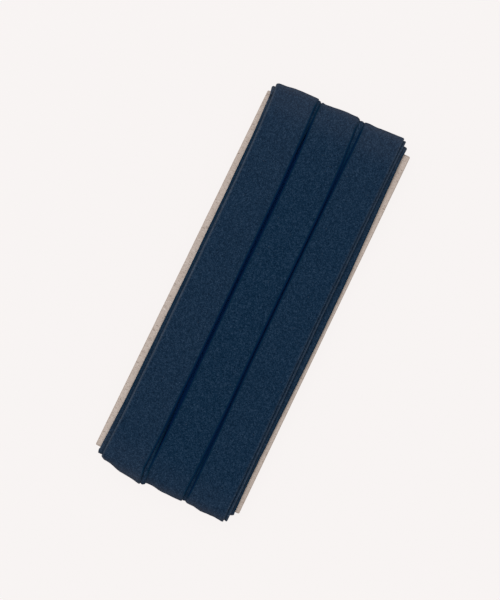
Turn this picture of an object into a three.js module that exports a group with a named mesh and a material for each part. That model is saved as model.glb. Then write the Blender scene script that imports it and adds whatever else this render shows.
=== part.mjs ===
// A card of bias tape: one strip of folded tape wound lengthwise round a flat card, in three lanes
// side by side and three layers deep. Millimetres, +Z up. The part lies on its back: +X runs across
// the card, +Y along it, and the origin is at the bottom centre of the whole part.
import * as THREE from "three";

// Driving dimensions
const CARD = { width: 54, length: 133.5, thickness: 1.0, cornerRadius: 0.8 };
const TAPE = { width: 15, thickness: 1.0, foldRound: 0.3 };
const CARD_GAP = 0.3; // between the card and the first layer
const LAYER_GAP = 0.2; // between one layer and the next
const LAYER_PITCH = TAPE.thickness + LAYER_GAP;
const LAYERS = 3;
const HALF_LENGTH = CARD.length / 2;

// On the back the tape changes lanes between +CROSS_FROM and -CROSS_FROM, and it climbs over the runs
// it crosses, or comes down from them, between CROSS_FROM and CLIMB_FROM.
const CROSS_FROM = 42;
const CLIMB_FROM = 60;
const START_Y = -46; // where the hidden inner end of the tape lies, on the back
const END_Y = 45; // where the outer end of the tape lies, on the back

// How loosely each lane turns over the card's ends in its outer layer, and how much further out its
// right edge stands there than its middle does
const LANES = {
  left: { topSlack: 0.5, topLean: 0.55, bottomSlack: 0.9, bottomLean: 0.5 },
  middle: { topSlack: 0.9, topLean: 0.5, bottomSlack: 0.75, bottomLean: 0.25 },
  right: { topSlack: 1.3, topLean: 0.45, bottomSlack: 0.9, bottomLean: 0.35 },
};
const SLACK_SHARE = [0.6, 1, 1]; // each layer's share of that slack and lean: the first lies tighter
const FRONT_LEAN = 0.16; // how far that edge stands out on the front of the outer layer

// The turns in the order they are wound. layer counts from the card; bottom, middle and top are the
// middle of the tape across the card, on the front; climb gives the layers that the run on the back
// then lies in, at its top, in the crossing and at its bottom, where the next turn begins, and sway
// how far it stands aside in the crossing.
const TURNS = [
  { lane: "right", layer: 0, bottom: 18.2, middle: 18.2, top: 16.7, climb: [0, 0, 0], sway: 0 },
  { lane: "middle", layer: 0, bottom: -0.2, middle: -1.0, top: -0.8, climb: [0, 0, 0], sway: 0 },
  { lane: "left", layer: 0, bottom: -17.6, middle: -17.0, top: -18.1, climb: [0, 1, 1], sway: 0 },
  { lane: "left", layer: 1, bottom: -15.1, middle: -16.4, top: -16.9, climb: [1, 2, 1], sway: 0 },
  { lane: "middle", layer: 1, bottom: 0.5, middle: 0.1, top: -0.7, climb: [1, 1, 1], sway: 0 },
  { lane: "right", layer: 1, bottom: 17.1, middle: 16.1, top: 15.6, climb: [1, 2, 2], sway: 1 },
  { lane: "right", layer: 2, bottom: 15.7, middle: 15.2, top: 14.4, climb: [2, 3, 2], sway: 0 },
  { lane: "middle", layer: 2, bottom: 0.1, middle: -0.2, top: -1.8, climb: [2, 3, 2], sway: 0 },
  { lane: "left", layer: 2, bottom: -16.0, middle: -15.9, top: -17.5, climb: [2, 3, 2], sway: 0 },
];

// Steps along each stretch of a turn
const FRONT_STEPS = 10;
const END_STEPS = 8;
const CLIMB_STEPS = 3;
const CROSS_STEPS = 10;

const { lerp, smoothstep } = THREE.MathUtils;

// Height of the middle of a layer above the card's middle plane, on either side
function layerHeight(layer) {
  return CARD.thickness / 2 + CARD_GAP + TAPE.thickness / 2 + layer * LAYER_PITCH;
}

// How far the right edge of a layer stands out on the front; the first layer lies flat on the card
function frontLean(layer) {
  return (FRONT_LEAN * layer) / (LAYERS - 1);
}

// A station is one cross-section of the tape: its middle, the direction away from the card, and how
// far its right edge stands out past its middle
function station(x, y, z, outY, outZ, lean) {
  return { middle: new THREE.Vector3(x, y, z), out: new THREE.Vector3(0, outY, outZ).normalize(), lean };
}

// The front of a turn, from the card's bottom end to its top end
function frontRun(turn) {
  const { layer, bottom, middle, top } = turn;
  const stations = [];
  for (let i = 0; i <= FRONT_STEPS; i++) {
    const along = -1 + (2 * i) / FRONT_STEPS;
    const x = middle + ((top - bottom) / 2) * along + ((top + bottom) / 2 - middle) * along * along;
    stations.push(station(x, along * HALF_LENGTH, layerHeight(layer), 0, 1, frontLean(layer)));
  }
  return stations;
}

// The half turn over one end of the card; end is +1 at the top, from front to back, and -1 at the
// bottom, from back to front. The stations where it meets the flat runs belong to those runs.
function endTurn(turn, end) {
  const { topSlack, topLean, bottomSlack, bottomLean } = LANES[turn.lane];
  const share = SLACK_SHARE[turn.layer];
  const slack = share * (end > 0 ? topSlack : bottomSlack);
  const endLean = share * (end > 0 ? topLean : bottomLean);
  const reach = CARD_GAP + TAPE.thickness / 2 + turn.layer * LAYER_PITCH + slack;
  const height = layerHeight(turn.layer);
  const x = end > 0 ? turn.top : turn.bottom;
  const stations = [];
  for (let i = 1; i < END_STEPS; i++) {
    const swept = (Math.PI * i) / END_STEPS;
    const fromFront = end > 0 ? swept : Math.PI - swept;
    const sideways = end * Math.sin(fromFront);
    const upwards = Math.cos(fromFront);
    const lean = endLean * Math.abs(sideways) + frontLean(turn.layer) * Math.max(upwards, 0);
    const y = end * HALF_LENGTH + sideways * reach;
    stations.push(station(x, y, upwards * height, sideways / reach, upwards / height, lean));
  }
  return stations;
}

// The places along the back, from its top to its bottom, where cross-sections are needed
function backPlaces() {
  const places = [HALF_LENGTH];
  const addStretch = (from, to, steps) => {
    for (let i = 0; i <= steps; i++) places.push(lerp(from, to, i / steps));
  };
  addStretch(CLIMB_FROM, CROSS_FROM, CLIMB_STEPS);
  addStretch(CROSS_FROM, -CROSS_FROM, CROSS_STEPS);
  addStretch(-CROSS_FROM, -CLIMB_FROM, CLIMB_STEPS);
  places.push(-HALF_LENGTH);
  return [...new Set(places)];
}

// The back of a turn, from the card's top end to its bottom end, across to the next turn's lane
function backRun(fromX, toX, climb, sway, firstY = HALF_LENGTH, lastY = -HALF_LENGTH) {
  const [topLayer, crossLayer, bottomLayer] = climb;
  const inside = backPlaces().filter((y) => y < firstY && y > lastY);
  return [firstY, ...inside, lastY].map((y) => {
    const crossed = smoothstep(-y, -CROSS_FROM, CROSS_FROM);
    const climbed = smoothstep(-y, -CLIMB_FROM, -CROSS_FROM);
    const cameDown = smoothstep(-y, CROSS_FROM, CLIMB_FROM);
    const layer = lerp(lerp(topLayer, crossLayer, climbed), bottomLayer, cameDown);
    const x = lerp(fromX, toX, crossed) + sway * climbed * (1 - cameDown);
    return station(x, y, -layerHeight(layer), 0, -1, 0);
  });
}

// Every cross-section of the tape from its inner end to its outer end
function windingPath() {
  const first = TURNS[0];
  const path = backRun(first.bottom, first.bottom, [0, 0, 0], 0, START_Y);
  TURNS.forEach((turn, i) => {
    const next = TURNS[i + 1];
    path.push(...endTurn(turn, -1), ...frontRun(turn), ...endTurn(turn, 1));
    if (next) path.push(...backRun(turn.top, next.bottom, turn.climb, turn.sway));
    else path.push(...backRun(turn.top, turn.top, turn.climb, turn.sway, HALF_LENGTH, END_Y));
  });
  return path;
}

// The folded tape's outline as [across, out] pairs: flat faces between two rounded folds
function tapeOutline() {
  const a = TAPE.width / 2;
  const b = TAPE.thickness / 2;
  const r = TAPE.foldRound;
  return [
    [-a, r - b], [r - a, -b], [a - r, -b], [a, r - b],
    [a, b - r], [a - r, b], [r - a, b], [-a, b - r],
  ];
}

// A closed strip through all stations, with a flat face at each end
function stripGeometry(stations, outline) {
  const sides = outline.length;
  const halfWidth = TAPE.width / 2;
  const points = [];
  for (const { middle, out, lean } of stations) {
    for (const [across, outwards] of outline) {
      const offset = outwards + (lean * across) / halfWidth;
      const point = middle.clone().addScaledVector(out, offset);
      point.x += across;
      points.push(point);
    }
  }
  const faces = [];
  for (let s = 0; s + 1 < stations.length; s++) {
    for (let k = 0; k < sides; k++) {
      const here = s * sides + k;
      const beside = s * sides + ((k + 1) % sides);
      faces.push(here, beside + sides, beside, here, here + sides, beside + sides);
    }
  }
  const last = (stations.length - 1) * sides;
  for (let k = 1; k + 1 < sides; k++) {
    faces.push(0, k, k + 1, last, last + k + 1, last + k);
  }
  return new THREE.BufferGeometry().setFromPoints(points).setIndex(faces);
}

// The card: plain greyboard with barely rounded corners
function cardGeometry() {
  const a = CARD.width / 2;
  const b = CARD.length / 2;
  const r = CARD.cornerRadius;
  const outline = new THREE.Shape();
  outline.moveTo(r - a, -b);
  outline.lineTo(a - r, -b).absarc(a - r, r - b, r, -Math.PI / 2, 0);
  outline.lineTo(a, b - r).absarc(a - r, b - r, r, 0, Math.PI / 2);
  outline.lineTo(r - a, b).absarc(r - a, b - r, r, Math.PI / 2, Math.PI);
  outline.lineTo(-a, r - b).absarc(r - a, r - b, r, Math.PI, 1.5 * Math.PI);
  const board = { depth: CARD.thickness, bevelEnabled: false, curveSegments: 3 };
  return new THREE.ExtrudeGeometry(outline, board).translate(0, 0, -CARD.thickness / 2);
}

const greyboard = new THREE.MeshStandardMaterial({ color: 0xb9aba2, roughness: 0.95, metalness: 0 });
const navyCotton = new THREE.MeshStandardMaterial({ color: 0x1a2c41, roughness: 0.9, metalness: 0 });

const card = new THREE.Mesh(cardGeometry(), greyboard);
card.name = "card";
const tape = new THREE.Mesh(stripGeometry(windingPath(), tapeOutline()), navyCotton);
tape.name = "tape";

const cardOfTape = new THREE.Group();
cardOfTape.add(card, tape);

// Stand the part on its lowest face, centred on the origin
const box = new THREE.Box3().setFromObject(cardOfTape, true);
const centre = box.getCenter(new THREE.Vector3());
cardOfTape.position.set(-centre.x, -centre.y, -box.min.z);

export default cardOfTape;
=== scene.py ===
import math

import bpy
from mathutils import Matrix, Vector, noise


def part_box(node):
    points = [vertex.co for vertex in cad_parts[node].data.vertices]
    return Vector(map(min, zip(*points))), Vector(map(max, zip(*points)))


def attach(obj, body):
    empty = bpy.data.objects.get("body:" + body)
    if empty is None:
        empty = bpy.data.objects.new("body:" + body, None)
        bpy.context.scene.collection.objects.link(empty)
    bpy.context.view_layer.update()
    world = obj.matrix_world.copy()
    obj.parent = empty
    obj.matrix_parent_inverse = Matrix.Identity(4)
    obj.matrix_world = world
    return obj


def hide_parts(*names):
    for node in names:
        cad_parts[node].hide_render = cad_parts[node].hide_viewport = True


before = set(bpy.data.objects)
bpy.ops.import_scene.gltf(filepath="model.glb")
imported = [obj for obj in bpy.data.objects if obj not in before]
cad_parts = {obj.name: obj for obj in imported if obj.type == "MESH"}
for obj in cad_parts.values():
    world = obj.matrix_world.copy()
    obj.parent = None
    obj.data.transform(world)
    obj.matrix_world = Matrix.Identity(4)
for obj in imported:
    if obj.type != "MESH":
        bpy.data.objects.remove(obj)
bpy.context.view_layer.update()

# The card: a rectangle of uncoated grey-beige board that the tape is wound on. It is cut from a
# larger sheet, so its edges are slightly crushed and uneven. Its face shows flecks of fibre, and a
# painted shade darkens it a little towards the right, where less of the lamp's light falls.
mm = 0.001
card_low, card_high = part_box("card")
card_middle = (card_low + card_high) / 2
card_size = card_high - card_low
card_corner = 0.45 * mm
card_corner_steps = 5
# the crush of the cut edge, how far the edge wanders and over what run, and the steps along it
card_edge_crush = 0.25 * mm
card_edge_wander = 0.07 * mm
card_edge_run = 4 * mm
card_edge_step = 1.2 * mm
# the card's corners, anticlockwise, each with its side (right 1) and end (top 1), and how far it is
# cut in from a true rectangle there
card_corners = (
    dict(side=1, end=-1, cut_side=-0.1 * mm, cut_end=-0.1 * mm),
    dict(side=1, end=1, cut_side=0.45 * mm, cut_end=-0.6 * mm),
    dict(side=-1, end=1, cut_side=0.2 * mm, cut_end=0.0),
    dict(side=-1, end=-1, cut_side=0.1 * mm, cut_end=-0.1 * mm),
)


def card_outline(inset):
    """The card's edge, anticlockwise, drawn in by inset and a little uneven along its length."""
    half_x = card_size.x / 2
    half_y = card_size.y / 2
    points = []
    for quarter, corner in enumerate(card_corners):
        centre_x = corner["side"] * (half_x - card_corner - corner["cut_side"])
        centre_y = corner["end"] * (half_y - card_corner - corner["cut_end"])
        for step in range(card_corner_steps + 1):
            angle = math.radians(90 * (quarter - 1) + 90 / card_corner_steps * step)
            x = centre_x + (card_corner - inset) * math.cos(angle)
            y = centre_y + (card_corner - inset) * math.sin(angle)
            points.append((x, y))
    edge = []
    for here, after in zip(points, points[1:] + points[:1]):
        here, after = Vector(here), Vector(after)
        steps = max(1, round((after - here).length / card_edge_step))
        for step in range(steps):
            point = here.lerp(after, step / steps)
            draw_in = 0.5 + 0.5 * noise.noise(Vector((point.x, point.y, 0)) / card_edge_run)
            edge.append(point - point.normalized() * draw_in * card_edge_wander)
    return edge


# how far each ring of points is drawn in, and its height
card_rings = (
    (card_edge_crush, card_low.z),
    (0, card_low.z + card_edge_crush),
    (0, card_high.z - card_edge_crush),
    (card_edge_crush, card_high.z),
)
card_points = []
card_faces = []
for inset, z in card_rings:
    card_points += [(card_middle.x + p.x, card_middle.y + p.y, z) for p in card_outline(inset)]
card_count = len(card_points) // len(card_rings)
for ring in range(len(card_rings) - 1):
    for i in range(card_count):
        j = (i + 1) % card_count
        low, high = ring * card_count, (ring + 1) * card_count
        card_faces.append((low + i, low + j, high + j, high + i))
card_faces.append(tuple(reversed(range(card_count))))
card_faces.append(tuple(range(len(card_points) - card_count, len(card_points))))
card_mesh = bpy.data.meshes.new("card_board")
card_mesh.from_pydata(card_points, [], card_faces)
card = bpy.data.objects.new("card_board", card_mesh)
bpy.context.collection.objects.link(card)


def place(tree, kind, sockets=None, **settings):
    """Adds a node to a tree, with its settings, and its sockets set or linked."""
    made = tree.nodes.new(kind)
    for name, value in settings.items():
        setattr(made, name, value)
    for name, value in (sockets or {}).items():
        if isinstance(value, bpy.types.NodeSocket):
            tree.links.new(value, made.inputs[name])
        else:
            made.inputs[name].default_value = value
    return made


def reckon(tree, operation, first, second=0.0, third=0.0):
    """A Math node's result."""
    sockets = {0: first, 1: second, 2: third}
    return place(tree, "ShaderNodeMath", sockets, operation=operation).outputs[0]


def spread(tree, value, low, high, to_low=0.0, to_high=1.0):
    """Maps a value's range smoothly to another, and holds it there at both ends."""
    sockets = {"Value": value, "From Min": low, "From Max": high, "To Min": to_low, "To Max": to_high}
    return place(tree, "ShaderNodeMapRange", sockets, interpolation_type="SMOOTHSTEP").outputs["Result"]


def blend_colour(tree, share, first, second, mode="MIX"):
    """Mixes two colours by a share from 0 to 1."""
    made = place(tree, "ShaderNodeMix", data_type="RGBA", blend_type=mode)
    for index, value in ((0, share), (6, first), (7, second)):
        if isinstance(value, bpy.types.NodeSocket):
            tree.links.new(value, made.inputs[index])
        else:
            made.inputs[index].default_value = value
    return made.outputs[2]


board_colour = (0.610, 0.515, 0.457, 1)
board_dark_fibre = (0.230, 0.172, 0.140, 1)
board_light_fibre = (0.800, 0.730, 0.680, 1)
board_cut_colour = (0.380, 0.300, 0.250, 1)
# how far the cut colour shows in the cloudy pulp, as a painted shade towards the card's right, and on its
# cut edges
board_clouds = 0.32
board_painted_shade = 0.22
board_cut_edges = 0.5
# the flecks of fibre: how each set is turned, where its pattern starts, how strong it is, its colour
board_flecks = (
    dict(turned=0.5, start=3.1, strength=0.90, colour=board_dark_fibre),
    dict(turned=2.1, start=7.7, strength=0.75, colour=board_dark_fibre),
    dict(turned=1.2, start=5.3, strength=0.60, colour=board_light_fibre),
    dict(turned=2.8, start=9.9, strength=0.50, colour=board_light_fibre),
)
fleck_scale = (900, 3400, 3400)
# the values of the patterns over which the clouds and the flecks come in, and how squarely the board
# has to face up or down not to be a cut edge
cloud_from, cloud_to = 0.3, 0.7
fleck_from, fleck_to = 0.60, 0.72
cut_from, cut_to = 0.75, 0.95
greyboard = bpy.data.materials.new("greyboard")
greyboard.use_nodes = True
tree = greyboard.node_tree
board_shader = tree.nodes["Principled BSDF"]
board_place = place(tree, "ShaderNodeTexCoord").outputs["Object"]
pulp = place(tree, "ShaderNodeTexNoise", {
    "Vector": board_place, "Scale": 420, "Detail": 6, "Roughness": 0.65,
})
clouds = spread(tree, pulp.outputs["Fac"], cloud_from, cloud_to, 0.0, board_clouds)
board_now = blend_colour(tree, clouds, board_colour, board_cut_colour)
for fleck in board_flecks:
    laid = place(tree, "ShaderNodeMapping", {
        "Vector": board_place, "Location": [fleck["start"]] * 3,
        "Rotation": (0, 0, fleck["turned"]), "Scale": fleck_scale,
    })
    fibres = place(tree, "ShaderNodeTexNoise", {
        "Vector": laid.outputs["Vector"], "Scale": 1.0, "Detail": 2, "Distortion": 0.6,
    })
    share = spread(tree, fibres.outputs["Fac"], fleck_from, fleck_to, 0.0, fleck["strength"])
    board_now = blend_colour(tree, share, board_now, fleck["colour"])
# painted shade: the board is darkened towards its right edge, standing in for less light there
board_across = place(tree, "ShaderNodeSeparateXYZ", {"Vector": board_place}).outputs["X"]
painted_right_shade = spread(tree, board_across, card_middle.x, card_high.x, 0.0, board_painted_shade)
board_now = blend_colour(tree, painted_right_shade, board_now, board_cut_colour)
board_facing = place(tree, "ShaderNodeNewGeometry").outputs["Normal"]
board_up = place(tree, "ShaderNodeSeparateXYZ", {"Vector": board_facing}).outputs["Z"]
board_level = reckon(tree, "ABSOLUTE", board_up)
board_cut = spread(tree, board_level, cut_from, cut_to, board_cut_edges, 0.0)
board_now = blend_colour(tree, board_cut, board_now, board_cut_colour)
tree.links.new(board_now, board_shader.inputs["Base Color"])
board_tooth = place(tree, "ShaderNodeTexNoise", {"Vector": board_place, "Scale": 2600, "Detail": 4})
board_bump = place(tree, "ShaderNodeBump", {
    "Height": board_tooth.outputs["Fac"], "Strength": 0.35, "Distance": 0.05 * mm,
})
tree.links.new(board_bump.outputs["Normal"], board_shader.inputs["Normal"])
board_shader.inputs["Roughness"].default_value = 0.95
board_shader.inputs["Specular IOR Level"].default_value = 0.15
card_mesh.materials.append(greyboard)
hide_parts("card")
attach(card, "root")

# The tape: one length of navy cotton, cut on the bias about 29 mm wide and pressed in from both edges
# to 15 mm. It is wound lengthwise round the card by hand, in three lanes and three layers, the flaps
# towards the card, and crosses from lane to lane on the back. Friction alone holds it.
layers = 3
# the tape's sizes are in millimetres, and become metres where its points are made
tape_width = 15.0
tape_thickness = 0.9
tape_ply = 0.33
tape_flap_gap = 1.0
# the gap under the first layer, the room that a layer has, and the step from one layer to the next
card_gap = 0.3
layer_room = 1.0
layer_pitch = 1.2
half_length = card_size.y / mm / 2
# on the back, how far from the card's middle the tape starts to cross and to climb, and where along
# the card its two cut ends lie
cross_from = 42
climb_from = 60
inner_end_y = -46
outer_end_y = 45
# how far the right edge of the outer layer stands out on the front
front_lean = 0.18
# how each lane turns over the card's two ends: how loosely, how much further out its right edge
# stands, how far it slips sideways and by what share it spreads
lane_ends = {
    "left": {
        "top": dict(slack=0.6, lean=0.6, slip=-0.3, spread=0.03),
        "bottom": dict(slack=0.9, lean=1.05, slip=0.35, spread=0.07),
    },
    "middle": {
        "top": dict(slack=1.0, lean=0.55, slip=0.2, spread=-0.03),
        "bottom": dict(slack=0.95, lean=0.25, slip=0.2, spread=-0.03),
    },
    "right": {
        "top": dict(slack=1.3, lean=0.5, slip=0.0, spread=0.02),
        "bottom": dict(slack=1.05, lean=0.3, slip=0.0, spread=0.02),
    },
}
# whether another lane lies close on the left and on the right
lane_neighbours = {"left": (0, 1), "middle": (1, 1), "right": (1, 0)}
# how much painted shade each layer's right edge has in its groove at the card's ends and in its
# middle, and how much painted shade the first layer's free edges have where they lie on the card
groove_at_ends = (1.0, 0.55, 0.75)
groove_in_middle = (1.0, 0.8, 1.0)
edge_on_card = (0.5, 0.0, 0.0)
# how much painted highlight each layer's free fold edges have, standing in for light catching them, on
# the left of the card, there at its ends and on its right, and how far in
edge_highlight_left = (0.1, 0.2, 1.6)
edge_highlight_left_at_ends = (0.5, 0.85, 1.0)
edge_highlight_right = (0.3, 0.9, 0.45)
worn_reach = (0.3, 0.13, 0.10)
# each layer's share of the slack and lean, and what it eases out towards the layer above
slack_share = (0.6, 1.0, 1.0)
end_ease = (0.0, 0.15, 0.0)
# the turns in the order they are wound, the layers counted from the card; places gives the tape's
# middle across the card at five marks along the front, from its bottom end to its top; climb gives
# the layers of the run on the back at its top, in the crossing and at its bottom, and sway its way
# aside there; width is given where the tape is pressed narrower than usual
place_marks = (-1.0, -0.6, 0.0, 0.6, 1.0)
turns = (
    dict(lane="right", layer=0, climb=(0, 0, 0), sway=0, places=(18.1, 17.9, 18.2, 17.4, 16.7)),
    dict(lane="middle", layer=0, climb=(0, 0, 0), sway=0, places=(-0.6, -1.3, -1.9, -2.1, -2)),
    dict(lane="left", layer=0, climb=(0, 1, 1), sway=0, places=(-17.6, -17, -17, -17.2, -18.1)),
    dict(lane="left", layer=1, climb=(1, 2, 1), sway=0, places=(-14.2, -15.2, -15.9, -16.2, -16)),
    dict(lane="middle", layer=1, climb=(1, 1, 1), sway=0, places=(1.9, 1.4, 0.5, 0.4, 0.3)),
    dict(lane="right", layer=1, climb=(1, 2, 2), sway=1, places=(16.95, 16.6, 15.9, 15.5, 15.4)),
    dict(lane="right", layer=2, climb=(2, 3, 2), sway=0, width=14.45, places=(16, 15.8, 15.1, 14.9, 14.7)),
    dict(lane="middle", layer=2, climb=(2, 3, 2), sway=0, places=(0.25, 0.5, 0, -0.3, -1.6)),
    dict(lane="left", layer=2, climb=(2, 3, 2), sway=0, places=(-15.85, -15.5, -15.7, -16.1, -17.15)),
)
# steps along the tape: their length on the front and on the back, and their number in a turn
front_step = 3.0
back_step = 4.0
end_steps = 18
# how loose the tape lies on the front, where 1 is the turn over an end
loose_on_front = 0.3
# the sideways waver of each run on the front: how far it goes, how often, and where its pattern
# starts; then how far apart the turns lie in that pattern, and how late it dies out near the ends
wavers = (dict(reach=0.10, often=4.5, start=0), dict(reach=0.05, often=15, start=4))
waver_apart = 7.3
waver_power = 6
# how far the end creases run on along the front, and the share of their height that they have there
crease_run = 18.0
crease_on_front = 0.3
# what shows in a turn dies out towards the back, between these two cosines of its angle
turn_hidden, turn_shown = -1, -0.3
# the painted highlight at the card's top (1) and bottom (-1), standing in for light on the tape's ends:
# over a long run towards the end, over a short one, and in the turn, late in it but not at its rim;
# then how much lighter each lane is painted all along, and each layer's share of it all
highlight_runs = {"long": 40.0, "short": 9.0}
highlight_at_end = {1: dict(long=0.06, short=0.18, turn=0.65), -1: dict(long=0.0, short=0.10, turn=0.85)}
lane_paleness = {"left": 0.075, "middle": 0.0, "right": 0.025}
paleness_of_layer = (1.0, 0.4, 1.0)
highlight_turn_power = 3
highlight_rim = 0.88
# how far from the card's middle the deep painted shade in the grooves gives way, each covered layer's
# share of the painted shade on the grooves' floor there, and how much painted shade the second layer has
# in them
deep_shade_from, deep_shade_to = 48.0, 70.0
groove_floor_share = (1.0, 0.2, 0.0)
sunk_share = 0.75
stations = []


def smooth(value, start, end):
    """A soft rise from 0 to 1 as a value goes from start to end."""
    share = min(max((value - start) / (end - start), 0), 1)
    return share * share * (3 - 2 * share)


def mix(first, second, share):
    """The value that lies a share of the way from the first to the second."""
    return first + (second - first) * share


def tape_offset(layer):
    """How far the middle of a layer lies from the face of the card."""
    return card_gap + layer_room - tape_thickness / 2 + layer * layer_pitch


def layer_height(layer):
    """How far the middle of a layer lies from the middle of the card."""
    return card_size.z / mm / 2 + tape_offset(layer)


def place_across(turn, along):
    """Where the middle of a turn lies across the card, on a smooth curve through its five places."""
    x = 0
    for given_x, mark in zip(turn["places"], place_marks):
        others = [other for other in place_marks if other != mark]
        x += given_x * math.prod((along - other) / (mark - other) for other in others)
    return x


def width_change(turn):
    """The share by which a turn is wider than the tape usually is, below 0 where it is narrower."""
    return turn.get("width", tape_width) / tape_width - 1


def lean_on_front(layer):
    """How far the right edge of a layer stands out on the front; the first layer lies flat."""
    return front_lean * layer / (layers - 1)


def add_station(x, y, z, out_y, out_z, lean=0, **handed_on):
    """One place along the tape: its middle, the way out from the card, and what it hands on."""
    handed_on["outwards"] = Vector((0, out_y, out_z)).normalized()
    handed_on["tilt"] = -math.atan(lean / (tape_width / 2))
    handed_on["middle"] = card_middle + Vector((x, y, z)) * mm
    stations.append(handed_on)


def edge_values(turn, shown, sunk):
    """How much painted groove shade each edge of a turn has on the front, and how much painted highlight
    where it shows.
    """
    layer = turn["layer"]
    on_left, on_right = lane_neighbours[turn["lane"]]
    right_depth = mix(groove_at_ends[layer], groove_in_middle[layer], sunk)
    return dict(
        left_groove=(on_left or edge_on_card[layer] * sunk) * shown,
        right_groove=(on_right * right_depth or edge_on_card[layer]) * shown,
        worn_reach=worn_reach[layer],
        left_worn=(1 - on_left) * mix(edge_highlight_left_at_ends[layer], edge_highlight_left[layer], sunk) * shown,
        right_worn=(1 - on_right) * edge_highlight_right[layer] * shown,
    )


def faded(turn, y, turned):
    """How much painted highlight and lighter lane tone the tape has at a place along the front, or round
    the turn over an end.
    """
    most = highlight_at_end[1 if y > 0 else -1]
    share = most["turn"] * turned ** highlight_turn_power
    for name, run in highlight_runs.items():
        share += most[name] * smooth(abs(y), half_length - run, half_length)
    share = lane_paleness[turn["lane"]] + share * (1 - smooth(turned, highlight_rim, 1))
    return share * paleness_of_layer[turn["layer"]]


def wind_back(from_x, to_x, climb, sway, first_y, last_y):
    """A run down the back of the card, from one lane across to another."""
    steps = max(2, round((first_y - last_y) / back_step))
    for step in range(steps + 1):
        y = mix(first_y, last_y, step / steps)
        climbed = smooth(-y, -climb_from, -cross_from)
        came_down = smooth(-y, cross_from, climb_from)
        layer = mix(mix(climb[0], climb[1], climbed), climb[2], came_down)
        x = mix(from_x, to_x, smooth(-y, -cross_from, cross_from))
        add_station(x + sway * climbed * (1 - came_down), y, -layer_height(layer), 0, -1)


def wind_end(number, turn, end):
    """The half turn over one end of the card, its top where end is 1 and its bottom where it is -1."""
    layer = turn["layer"]
    ways = lane_ends[turn["lane"]]["top" if end > 0 else "bottom"]
    reach = tape_offset(layer) + slack_share[layer] * ways["slack"] + end_ease[layer]
    end_lean = slack_share[layer] * ways["lean"]
    height = layer_height(layer)
    for step in range(1, end_steps):
        swept = math.pi * step / end_steps
        from_front = swept if end > 0 else math.pi - swept
        side = end * math.sin(from_front)
        up = math.cos(from_front)
        shown = smooth(up, turn_hidden, turn_shown)
        add_station(
            place_across(turn, end) + ways["slip"] * abs(side),
            end * half_length + side * reach, up * height, side / reach, up / height,
            lean=end_lean * abs(side) + lean_on_front(layer) * max(up, 0),
            turn=number, loose=mix(loose_on_front, 1, abs(side)) * shown,
            widen=width_change(turn) * shown + ways["spread"] * abs(side),
            near_end=end * shown, in_turn=abs(side),
            faded=faded(turn, end * (half_length + reach * abs(side)), abs(side)) * shown,
            **edge_values(turn, shown, 0),
        )


def wind_front(number, turn):
    """A run up the front of the card, from its bottom end to its top end."""
    layer = turn["layer"]
    steps = round(2 * half_length / front_step)
    for step in range(steps + 1):
        along = -1 + 2 * step / steps
        aside = 0
        for waver in wavers:
            pattern_place = Vector((number * waver_apart, along * waver["often"], waver["start"]))
            aside += waver["reach"] * noise.noise(pattern_place)
        aside *= 1 - abs(along) ** waver_power
        y = along * half_length
        near_end = smooth(abs(y), half_length - crease_run, half_length)
        # painted shade for the middle lane's covered layers, deep in the grooves away from the card's ends
        covered = turn["lane"] == "middle" and layer < layers - 1
        sunk = 1 - smooth(abs(y), deep_shade_from, deep_shade_to)
        add_station(
            place_across(turn, along) + aside, y, layer_height(layer), 0, 1,
            lean=lean_on_front(layer), turn=number, loose=loose_on_front, widen=width_change(turn),
            near_end=math.copysign(near_end, along),
            faded=faded(turn, y, 0), kept=covered * sunk * groove_floor_share[layer],
            sunk=covered * layer * sunk * sunk_share,
            **edge_values(turn, 1, sunk),
        )


start_x = turns[0]["places"][0]
wind_back(start_x, start_x, turns[0]["climb"], 0, inner_end_y, -half_length)
for number, turn in enumerate(turns):
    wind_end(number, turn, -1)
    wind_front(number, turn)
    wind_end(number, turn, 1)
    if number + 1 < len(turns):
        next_x, last_y = turns[number + 1]["places"][0], -half_length
    else:
        next_x, last_y = turn["places"][-1], outer_end_y
    wind_back(turn["places"][-1], next_x, turn["climb"], turn["sway"], half_length, last_y)

# the path as a line of points, each with what its station hands on
path_mesh = bpy.data.meshes.new("tape_path")
path_edges = [(i, i + 1) for i in range(len(stations) - 1)]
path_mesh.from_pydata([station["middle"] for station in stations], path_edges, [])
path_out = path_mesh.attributes.new("outwards", "FLOAT_VECTOR", "POINT")
path_out.data.foreach_set("vector", [value for station in stations for value in station["outwards"]])
for name in (
    "tilt", "turn", "loose", "widen", "near_end", "in_turn", "faded", "kept",
    "left_groove", "right_groove", "left_worn", "right_worn", "worn_reach", "sunk",
):
    path_values = [station.get(name, 0) for station in stations]
    path_mesh.attributes.new(name, "FLOAT", "POINT").data.foreach_set("value", path_values)
tape = bpy.data.objects.new("folded_tape", path_mesh)
bpy.context.collection.objects.link(tape)

# the folded section as a line through the middle of the cloth: flap, fold, face, fold, flap; the face
# is flat in its middle and falls away by the crown at the folds
tape_crown = 0.10
crown_power = 6
fold_steps = 5
face_places = (0.94, 0.86, 0.74, 0.56, 0.36, 0.18)
flap_places = (0.30, 0.70, 0.90)
flap_out = -(tape_thickness - tape_ply) / 2
fold_bend = (tape_thickness - tape_ply - tape_crown) / 2
fold_centre = tape_width / 2 - tape_ply / 2 - fold_bend
half_section = [(flap_out, -tape_flap_gap / 2)]
half_section += [(flap_out, -fold_centre * share) for share in flap_places]
for step in range(fold_steps + 1):
    angle = math.pi * step / fold_steps
    out = -tape_crown / 2 - fold_bend * math.cos(angle)
    half_section.append((out, -fold_centre - fold_bend * math.sin(angle)))
for share in face_places:
    half_section.append((-flap_out - tape_crown * share ** crown_power, -fold_centre * share))
section = half_section + [(-flap_out, 0.0)] + [(out, -across) for out, across in reversed(half_section)]
outer_side = []
inner_side = []
laid_flat = []
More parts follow.
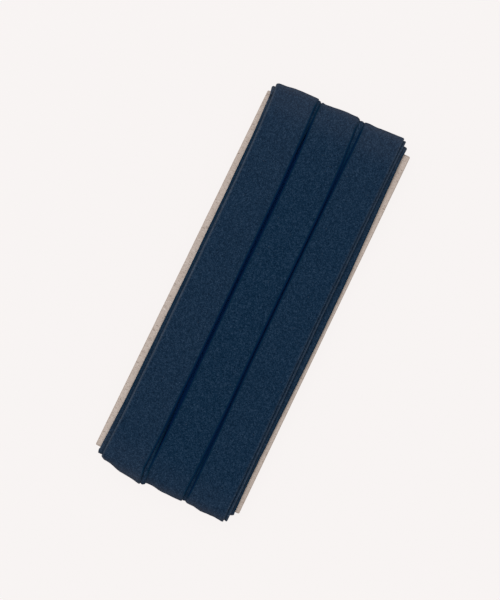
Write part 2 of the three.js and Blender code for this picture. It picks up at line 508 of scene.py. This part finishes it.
for i, (out, across) in enumerate(section):
    before = Vector(section[max(i - 1, 0)])
    after = Vector(section[min(i + 1, len(section) - 1)])
    run = (after - before).normalized()
    facing = Vector((run.y, -run.x)) * tape_ply / 2
    outer_side.append(Vector((out, across)) + facing)
    inner_side.append(Vector((out, across)) - facing)
    step_length = (Vector(section[i]) - Vector(section[i - 1])).length if i else 0
    laid_flat.append((laid_flat[-1] if i else 0) + step_length)
fold_points = outer_side + inner_side[::-1]
fold_mesh = bpy.data.meshes.new("fold_outline")
fold_edges = [(i, (i + 1) % len(fold_points)) for i in range(len(fold_points))]
fold_mesh.from_pydata([(p.x * mm, p.y * mm, 0) for p in fold_points], fold_edges, [])
for name, values in (
    ("across", laid_flat + laid_flat[::-1]),
    ("side", [p.y / (tape_width / 2) for p in fold_points]),
):
    fold_mesh.attributes.new(name, "FLOAT", "POINT").data.foreach_set("value", values)
fold_outline = bpy.data.objects.new("fold_outline", fold_mesh)
bpy.context.collection.objects.link(fold_outline)

# the winding: the folded section is swept along the path, then waved and drooped, and every point
# keeps its place on the flat cloth, its painted shade in a groove and its painted edge highlight
winding = bpy.data.node_groups.new("wind folded tape", "GeometryNodeTree")
for name, kind in (
    ("Path", "NodeSocketGeometry"),
    ("Fold outline", "NodeSocketObject"),
    ("Wave height", "NodeSocketFloat"),
    ("Wave width", "NodeSocketFloat"),
    ("Wave run", "NodeSocketFloat"),
    ("Edge droop", "NodeSocketFloat"),
    ("Left edge", "NodeSocketFloat"),
    ("Right edge", "NodeSocketFloat"),
    ("Seed", "NodeSocketInt"),
    ("Cloth", "NodeSocketMaterial"),
):
    winding.interface.new_socket(name, in_out="INPUT", socket_type=kind)
winding.interface.new_socket("Tape", in_out="OUTPUT", socket_type="NodeSocketGeometry")
asked = place(winding, "NodeGroupInput").outputs


def carried(name, kind="FLOAT"):
    """A value that the path or the section hands on to the tape."""
    named = place(winding, "GeometryNodeInputNamedAttribute", {"Name": name}, data_type=kind)
    return named.outputs["Attribute"]


route = place(winding, "GeometryNodeMeshToCurve", {"Mesh": asked["Path"]}).outputs["Curve"]
route = place(winding, "GeometryNodeSetCurveNormal", {
    "Curve": route, "Normal": carried("outwards", "FLOAT_VECTOR"),
}, mode="FREE").outputs["Curve"]
route = place(winding, "GeometryNodeSetCurveTilt", {
    "Curve": route, "Tilt": carried("tilt"),
}).outputs["Curve"]
run_length = place(winding, "GeometryNodeSplineParameter").outputs["Length"]
route = place(winding, "GeometryNodeStoreNamedAttribute", {
    "Geometry": route, "Name": "along", "Value": reckon(winding, "DIVIDE", run_length, mm),
}, data_type="FLOAT", domain="POINT").outputs["Geometry"]
outline_shape = place(winding, "GeometryNodeObjectInfo", {
    "Object": asked["Fold outline"],
}).outputs["Geometry"]
outline_curve = place(winding, "GeometryNodeMeshToCurve", {"Mesh": outline_shape}).outputs["Curve"]
cloth = place(winding, "GeometryNodeCurveToMesh", {
    "Curve": route, "Profile Curve": outline_curve,
    "Scale": reckon(winding, "ADD", carried("widen"), 1.0), "Fill Caps": True,
}).outputs["Mesh"]
wave_place = place(winding, "ShaderNodeCombineXYZ", {
    "X": reckon(winding, "DIVIDE", carried("side"), asked["Wave width"]),
    "Y": reckon(winding, "DIVIDE", carried("along"), asked["Wave run"]),
    "Z": asked["Seed"],
}).outputs["Vector"]
wave = place(winding, "ShaderNodeTexNoise", {
    "Vector": wave_place, "Scale": 1.0, "Detail": 2,
}).outputs["Fac"]
wave = reckon(winding, "MULTIPLY", reckon(winding, "SUBTRACT", wave, 0.5), asked["Wave height"])
wave = reckon(winding, "MULTIPLY", wave, carried("loose"))
to_right = carried("side")
to_left = reckon(winding, "MULTIPLY", to_right, -1.0)


def near_edge(towards, width, share):
    """How near a place is to an edge of the tape, times a share."""
    start = reckon(winding, "SUBTRACT", 1.0, width)
    return reckon(winding, "MULTIPLY", spread(winding, towards, start, 1.0), share)


# painted shade near the edges that lie in grooves, and painted highlight near the free fold edges
in_left = near_edge(to_left, asked["Left edge"], carried("left_groove"))
in_right = near_edge(to_right, asked["Right edge"], carried("right_groove"))
left_highlit_edge = near_edge(to_left, carried("worn_reach"), carried("left_worn"))
right_highlit_edge = near_edge(to_right, carried("worn_reach"), carried("right_worn"))
worn = reckon(winding, "ADD", left_highlit_edge, right_highlit_edge)
# the left edges droop into the grooves, and the right ones by a share of that
right_droop = 0.25
droop = reckon(winding, "MULTIPLY_ADD", in_right, right_droop, in_left)
droop = reckon(winding, "MULTIPLY", droop, asked["Edge droop"])
lift = place(winding, "ShaderNodeVectorMath", {
    0: carried("outwards", "FLOAT_VECTOR"), "Scale": reckon(winding, "SUBTRACT", wave, droop),
}, operation="SCALE").outputs["Vector"]
cloth = place(winding, "GeometryNodeSetPosition", {
    "Geometry": cloth, "Offset": lift,
}).outputs["Geometry"]
# the painted groove shade, stored for the cloth together with the painted edge highlight
groove = reckon(winding, "ADD", in_left, in_right)
groove = reckon(winding, "MAXIMUM", groove, carried("sunk"))
for name, value in (("groove", groove), ("worn", worn)):
    cloth = place(winding, "GeometryNodeStoreNamedAttribute", {
        "Geometry": cloth, "Name": name, "Value": value,
    }, data_type="FLOAT", domain="POINT").outputs["Geometry"]
weave_place = place(winding, "ShaderNodeCombineXYZ", {
    "X": carried("across"), "Y": carried("along"),
}).outputs["Vector"]
cloth = place(winding, "GeometryNodeStoreNamedAttribute", {
    "Geometry": cloth, "Name": "weave", "Value": weave_place,
}, data_type="FLOAT2", domain="CORNER").outputs["Geometry"]
cloth = place(winding, "GeometryNodeSetShadeSmooth", {"Geometry": cloth}).outputs["Geometry"]
cloth = place(winding, "GeometryNodeRealizeInstances", {"Geometry": cloth}).outputs["Geometry"]
cloth = place(winding, "GeometryNodeSetMaterial", {
    "Geometry": cloth, "Material": asked["Cloth"],
}).outputs["Geometry"]
place(winding, "NodeGroupOutput", {"Tape": cloth})

# the cloth's colours: its threads, the hollows between them, their crests and the specks of lint
navy = (0.0044, 0.0224, 0.0522, 1)
navy_dark = (0.0006, 0.0084, 0.0240, 1)
navy_light = (0.0275, 0.0535, 0.0960, 1)
navy_lint = (0.0450, 0.0560, 0.0760, 1)
# painted shade: the depth and the sides of the grooves, and the floor seen at the bottom of them
navy_shade = (0.0001, 0.0092, 0.0480, 1)
navy_flank = (0.0006, 0.0180, 0.0410, 1)
navy_groove_floor = (0.0010, 0.0275, 0.1150, 1)
# painted highlight added near the card's ends and along the free fold edges
navy_pale_highlight = (0.0355, 0.0305, 0.0290, 1)
navy_edge_highlight = (0.0300, 0.0310, 0.0310, 1)
# the pitch of the threads in millimetres, how drawn out the slubs in them are, and how strongly their
# crossings stand out; the relief over which the hollows end and the crests begin
thread_pitch = 0.25
slub_run = 0.4
crossing_share = 0.35
hollow_relief = (1.35, 1.75)
crest_relief = (1.70, 2.05)
# how far a speck of lint reaches and how strong it is
lint_reach = (0.03, 0.07)
lint_share = 0.5
# the depths over which the painted shade of a groove's sides and of its depth comes in, and what is
# left of it at the rim of a turn
flank_depths = (0.0, 0.6)
shade_depths = (0.4, 1.0)
groove_in_turn = 0.3
navy_cotton = bpy.data.materials.new("navy bias cotton")
navy_cotton.use_nodes = True
tree = navy_cotton.node_tree
cloth_shader = tree.nodes["Principled BSDF"]
weave_uv = place(tree, "ShaderNodeUVMap", uv_map="weave").outputs["UV"]
drift = place(tree, "ShaderNodeTexNoise", {"Vector": weave_uv, "Scale": 0.25, "Detail": 2})
drifted = place(tree, "ShaderNodeVectorMath", {
    0: drift.outputs["Color"], 1: weave_uv,
}, operation="ADD").outputs["Vector"]
on_bias = place(tree, "ShaderNodeMapping", {
    "Vector": drifted, "Rotation": (0, 0, math.radians(45)),
    "Scale": (1 / thread_pitch, 1 / thread_pitch, 1),
}).outputs["Vector"]
threads = place(tree, "ShaderNodeSeparateXYZ", {"Vector": on_bias}).outputs
warp = reckon(tree, "SINE", reckon(tree, "MULTIPLY", threads["X"], math.pi))
weft = reckon(tree, "SINE", reckon(tree, "MULTIPLY", threads["Y"], math.pi))
crossing = reckon(tree, "MULTIPLY_ADD", reckon(tree, "MULTIPLY", warp, weft), 0.5, 0.5)
yarns = []
for stretch in ((slub_run, 1.0, 1.0), (1.0, slub_run, 1.0)):
    spun = place(tree, "ShaderNodeVectorMath", {
        0: on_bias, 1: stretch,
    }, operation="MULTIPLY").outputs["Vector"]
    yarn = place(tree, "ShaderNodeTexNoise", {"Vector": spun, "Scale": 1.0, "Detail": 3})
    yarns.append(yarn.outputs["Fac"])
fuzz = place(tree, "ShaderNodeTexNoise", {
    "Vector": weave_uv, "Scale": 4.8, "Detail": 3,
}).outputs["Fac"]
relief = reckon(tree, "ADD", yarns[0], yarns[1])
relief = reckon(tree, "MULTIPLY_ADD", crossing, crossing_share, relief)
relief = reckon(tree, "ADD", relief, fuzz)
cloth_now = blend_colour(tree, spread(tree, relief, *hollow_relief), navy_dark, navy)
cloth_now = blend_colour(tree, spread(tree, relief, *crest_relief), cloth_now, navy_light)
lint = place(tree, "ShaderNodeTexVoronoi", {"Vector": weave_uv, "Scale": 0.28}).outputs["Distance"]
cloth_now = blend_colour(tree, spread(tree, lint, *lint_reach, lint_share, 0.0), cloth_now, navy_lint)


def handed(name):
    """A value that the winding left on the tape."""
    return place(tree, "ShaderNodeAttribute", attribute_name=name).outputs["Fac"]


# painted highlight near the ends and on the free fold edges, then painted shade over the grooves and their
# floor
cloth_now = blend_colour(tree, handed("faded"), cloth_now, navy_pale_highlight, "ADD")
cloth_now = blend_colour(tree, handed("worn"), cloth_now, navy_edge_highlight, "ADD")
groove_share = spread(tree, handed("in_turn"), 0.0, 1.0, 1.0, groove_in_turn)
groove_seen = reckon(tree, "MULTIPLY", handed("groove"), groove_share)
cloth_now = blend_colour(tree, spread(tree, groove_seen, *flank_depths), cloth_now, navy_flank)
cloth_now = blend_colour(tree, spread(tree, groove_seen, *shade_depths), cloth_now, navy_shade)
cloth_now = blend_colour(tree, handed("kept"), cloth_now, navy_groove_floor)
tree.links.new(cloth_now, cloth_shader.inputs["Base Color"])
cloth_bump = place(tree, "ShaderNodeBump", {
    "Height": relief, "Strength": 0.5, "Distance": 0.08 * mm,
})
tree.links.new(cloth_bump.outputs["Normal"], cloth_shader.inputs["Normal"])
cloth_shader.inputs["Sheen Weight"].default_value = 0.045
cloth_shader.inputs["Sheen Roughness"].default_value = 0.35
cloth_shader.inputs["Sheen Tint"].default_value = (0.92, 0.92, 1.0, 1)
cloth_shader.inputs["Roughness"].default_value = 0.95
cloth_shader.inputs["Specular IOR Level"].default_value = 0.05

wind = tape.modifiers.new("wind", "NODES")
wind.node_group = winding
chosen = {
    "Fold outline": fold_outline, "Wave height": 0.5 * mm, "Wave width": 0.3, "Wave run": 14.0,
    "Edge droop": 0.3 * mm, "Left edge": 0.14, "Right edge": 0.135, "Seed": 3, "Cloth": navy_cotton,
}
for socket in winding.interface.items_tree:
    if socket.in_out == "INPUT" and socket.name in chosen:
        wind[socket.identifier] = chosen[socket.name]
finished = tape.evaluated_get(bpy.context.evaluated_depsgraph_get())
tape_mesh = bpy.data.meshes.new_from_object(finished)
tape.modifiers.remove(wind)
tape.data = tape_mesh
bpy.data.objects.remove(fold_outline)

# the creases at the card's ends, each a soft ridge or trough running round the end, with its place
# from the left edge of the tape (-1) to the right one (1), its height in the turn, and its height on
# the front where that isn't the usual share of it
end_creases = (
    dict(lane="left", layers=(1, 2), end=1, side=0.0, half_width=4.0, height=0.25),
    dict(lane="left", layers=(1, 2), end=1, side=-0.62, half_width=1.6, height=-0.12),
    dict(lane="left", layers=(2,), end=1, side=-1.0, half_width=0.5, height=-0.25),
    dict(lane="left", layers=(0,), end=1, side=-0.9, half_width=1.5, height=0.9),
    dict(lane="left", layers=(1,), end=1, side=0.88, half_width=1.1, height=0.6, front=0.6),
    dict(lane="middle", layers=(1, 2), end=1, side=-0.6, half_width=2.2, height=-0.12),
    dict(lane="middle", layers=(1, 2), end=1, side=0.15, half_width=2.2, height=0.18),
    dict(lane="middle", layers=(2,), end=1, side=-0.93, half_width=0.5, height=0.3, front=-0.45),
    dict(lane="middle", layers=(1,), end=1, side=0.85, half_width=1.0, height=0.5, front=0.6),
    dict(lane="middle", layers=(2,), end=1, side=1.0, half_width=0.7, height=-0.5),
    dict(lane="right", layers=(1, 2), end=1, side=-0.7, half_width=1.0, height=0.2),
    dict(lane="right", layers=(2,), end=1, side=-0.94, half_width=0.5, height=0.2, front=-0.4),
    dict(lane="right", layers=(1, 2), end=1, side=-0.4, half_width=1.6, height=-0.14),
    dict(lane="right", layers=(1,), end=1, side=1.0, half_width=1.4, height=0.4, front=0.35),
    dict(lane="right", layers=(0,), end=1, side=0.9, half_width=3.0, height=0.7),
    dict(lane="left", layers=(2,), end=-1, side=-1.0, half_width=1.0, height=-0.5),
    dict(lane="left", layers=(0,), end=-1, side=-0.8, half_width=1.0, height=0.6),
    dict(lane="left", layers=(1, 2), end=-1, side=-0.5, half_width=2.0, height=-0.38),
    dict(lane="left", layers=(1, 2), end=-1, side=-0.05, half_width=2.5, height=0.15),
    dict(lane="left", layers=(2,), end=-1, side=1.0, half_width=1.0, height=0.25),
    dict(lane="left", layers=(1,), end=-1, side=1.0, half_width=1.25, height=0.45, front=0.45),
    dict(lane="left", layers=(1,), end=-1, side=0.85, half_width=0.8, height=0.85, front=0.55),
    dict(lane="middle", layers=(1, 2), end=-1, side=-0.6, half_width=2.0, height=-0.12),
    dict(lane="middle", layers=(1, 2), end=-1, side=0.0, half_width=2.0, height=0.12),
    dict(lane="middle", layers=(2,), end=-1, side=-0.9, half_width=0.5, height=0.25, front=-0.45),
    dict(lane="middle", layers=(1,), end=-1, side=0.83, half_width=1.0, height=0.5, front=0.4),
    dict(lane="right", layers=(1, 2), end=-1, side=-0.1, half_width=2.2, height=0.2),
    dict(lane="right", layers=(1, 2), end=-1, side=0.6, half_width=2.0, height=-0.12),
    dict(lane="right", layers=(1,), end=-1, side=1.0, half_width=1.4, height=0.4, front=0.45),
    dict(lane="right", layers=(0,), end=-1, side=1.0, half_width=1.0, height=-0.6),
)


def given(name):
    """What every point of the tape was handed by the path or the section."""
    values = [0.0] * len(tape_mesh.vertices)
    tape_mesh.attributes[name].data.foreach_get("value", values)
    return values


tape_outwards = tape_mesh.attributes["outwards"].data
tape_given = zip(given("turn"), given("side"), given("near_end"), given("in_turn"))
for i, (number, side, near_end, in_turn) in enumerate(tape_given):
    if not near_end:
        continue
    turn = turns[round(number)]
    height = 0
    for crease in end_creases:
        if turn["lane"] == crease["lane"] and turn["layer"] in crease["layers"]:
            away = (side - crease["side"]) * tape_width / 2 / crease["half_width"]
            on_front = crease.get("front", crease["height"] * crease_on_front)
            here = mix(on_front, crease["height"], in_turn) * max(near_end * crease["end"], 0)
            height += here * math.exp(-away * away)
    tape_mesh.vertices[i].co += tape_outwards[i].vector * height * mm
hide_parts("tape")
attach(tape, "root")

# The table top: a plain pale sheet, lit from below, that the card lies on.
floor_colour = (0.939, 0.905, 0.896, 1)
floor_half = 3.0
# how much of its colour it gives off by itself: as the camera sees it, and as light on the part
floor_lit_share = 0.97
floor_glow = 0.4
floor_corners = [(-1, -1), (1, -1), (1, 1), (-1, 1)]
floor_mesh = bpy.data.meshes.new("floor")
floor_mesh.from_pydata([(x * floor_half, y * floor_half, 0) for x, y in floor_corners], [], [(0, 1, 2, 3)])
floor = bpy.data.objects.new("floor", floor_mesh)
bpy.context.collection.objects.link(floor)
pale_sheet = bpy.data.materials.new("pale sheet")
pale_sheet.use_nodes = True
tree = pale_sheet.node_tree
floor_inputs = tree.nodes["Principled BSDF"].inputs
floor_own = [value * (1 - floor_lit_share) for value in floor_colour[:3]]
floor_inputs["Base Color"].default_value = (*floor_own, 1)
floor_inputs["Emission Color"].default_value = floor_colour
seen = place(tree, "ShaderNodeLightPath").outputs["Is Camera Ray"]
floor_light = reckon(tree, "MULTIPLY_ADD", seen, floor_lit_share - floor_glow, floor_glow)
tree.links.new(floor_light, floor_inputs["Emission Strength"])
floor_inputs["Roughness"].default_value = 1.0
floor_inputs["Specular IOR Level"].default_value = 0.0
floor_mesh.materials.append(pale_sheet)

# Light: a white studio tent all round, and a broad soft lamp beyond the card's top left corner.
tent_strength = 0.80
lamp_place = Vector((-0.48, 0.48, 1.02))
lamp_side = 0.8
lamp_power = 4.1
tent = bpy.data.worlds.new("tent")
tent.use_nodes = True
tent.node_tree.nodes["Background"].inputs["Color"].default_value = (1, 1, 1, 1)
tent.node_tree.nodes["Background"].inputs["Strength"].default_value = tent_strength
bpy.context.scene.world = tent
lamp_data = bpy.data.lights.new("soft lamp", "AREA")
lamp_data.size = lamp_side
lamp_data.energy = lamp_power
lamp = bpy.data.objects.new("soft lamp", lamp_data)
lamp.location = lamp_place
lamp.rotation_euler = lamp_place.to_track_quat("Z", "Y").to_euler()
bpy.context.collection.objects.link(lamp)
bpy.context.scene.view_settings.view_transform = "Standard"

# Camera: straight above, with a long lens, turned so that the card leans to the right.
card_turn = math.radians(25.9)
image_height_px = 600
px_per_mm = 2.95
# how far the card's middle lies to the right of the picture's middle, and below it
card_right_px = 3.1
card_below_px = 1.65
camera_data = bpy.data.cameras.new("camera")
camera_data.lens = 135
camera_data.sensor_width = 36
camera_height = image_height_px / px_per_mm * mm * camera_data.lens / camera_data.sensor_width
across_image = Vector((math.cos(card_turn), math.sin(card_turn), 0))
up_image = Vector((-math.sin(card_turn), math.cos(card_turn), 0))
card_from_centre = (across_image * card_right_px - up_image * card_below_px) / px_per_mm * mm
camera = bpy.data.objects.new("camera", camera_data)
camera.location = card_middle - card_from_centre
camera.location.z = card_middle.z + camera_height
camera.rotation_euler = (0, 0, card_turn)
camera_data.clip_start = 0.01
camera_data.clip_end = 20
bpy.context.collection.objects.link(camera)
bpy.context.scene.camera = camera
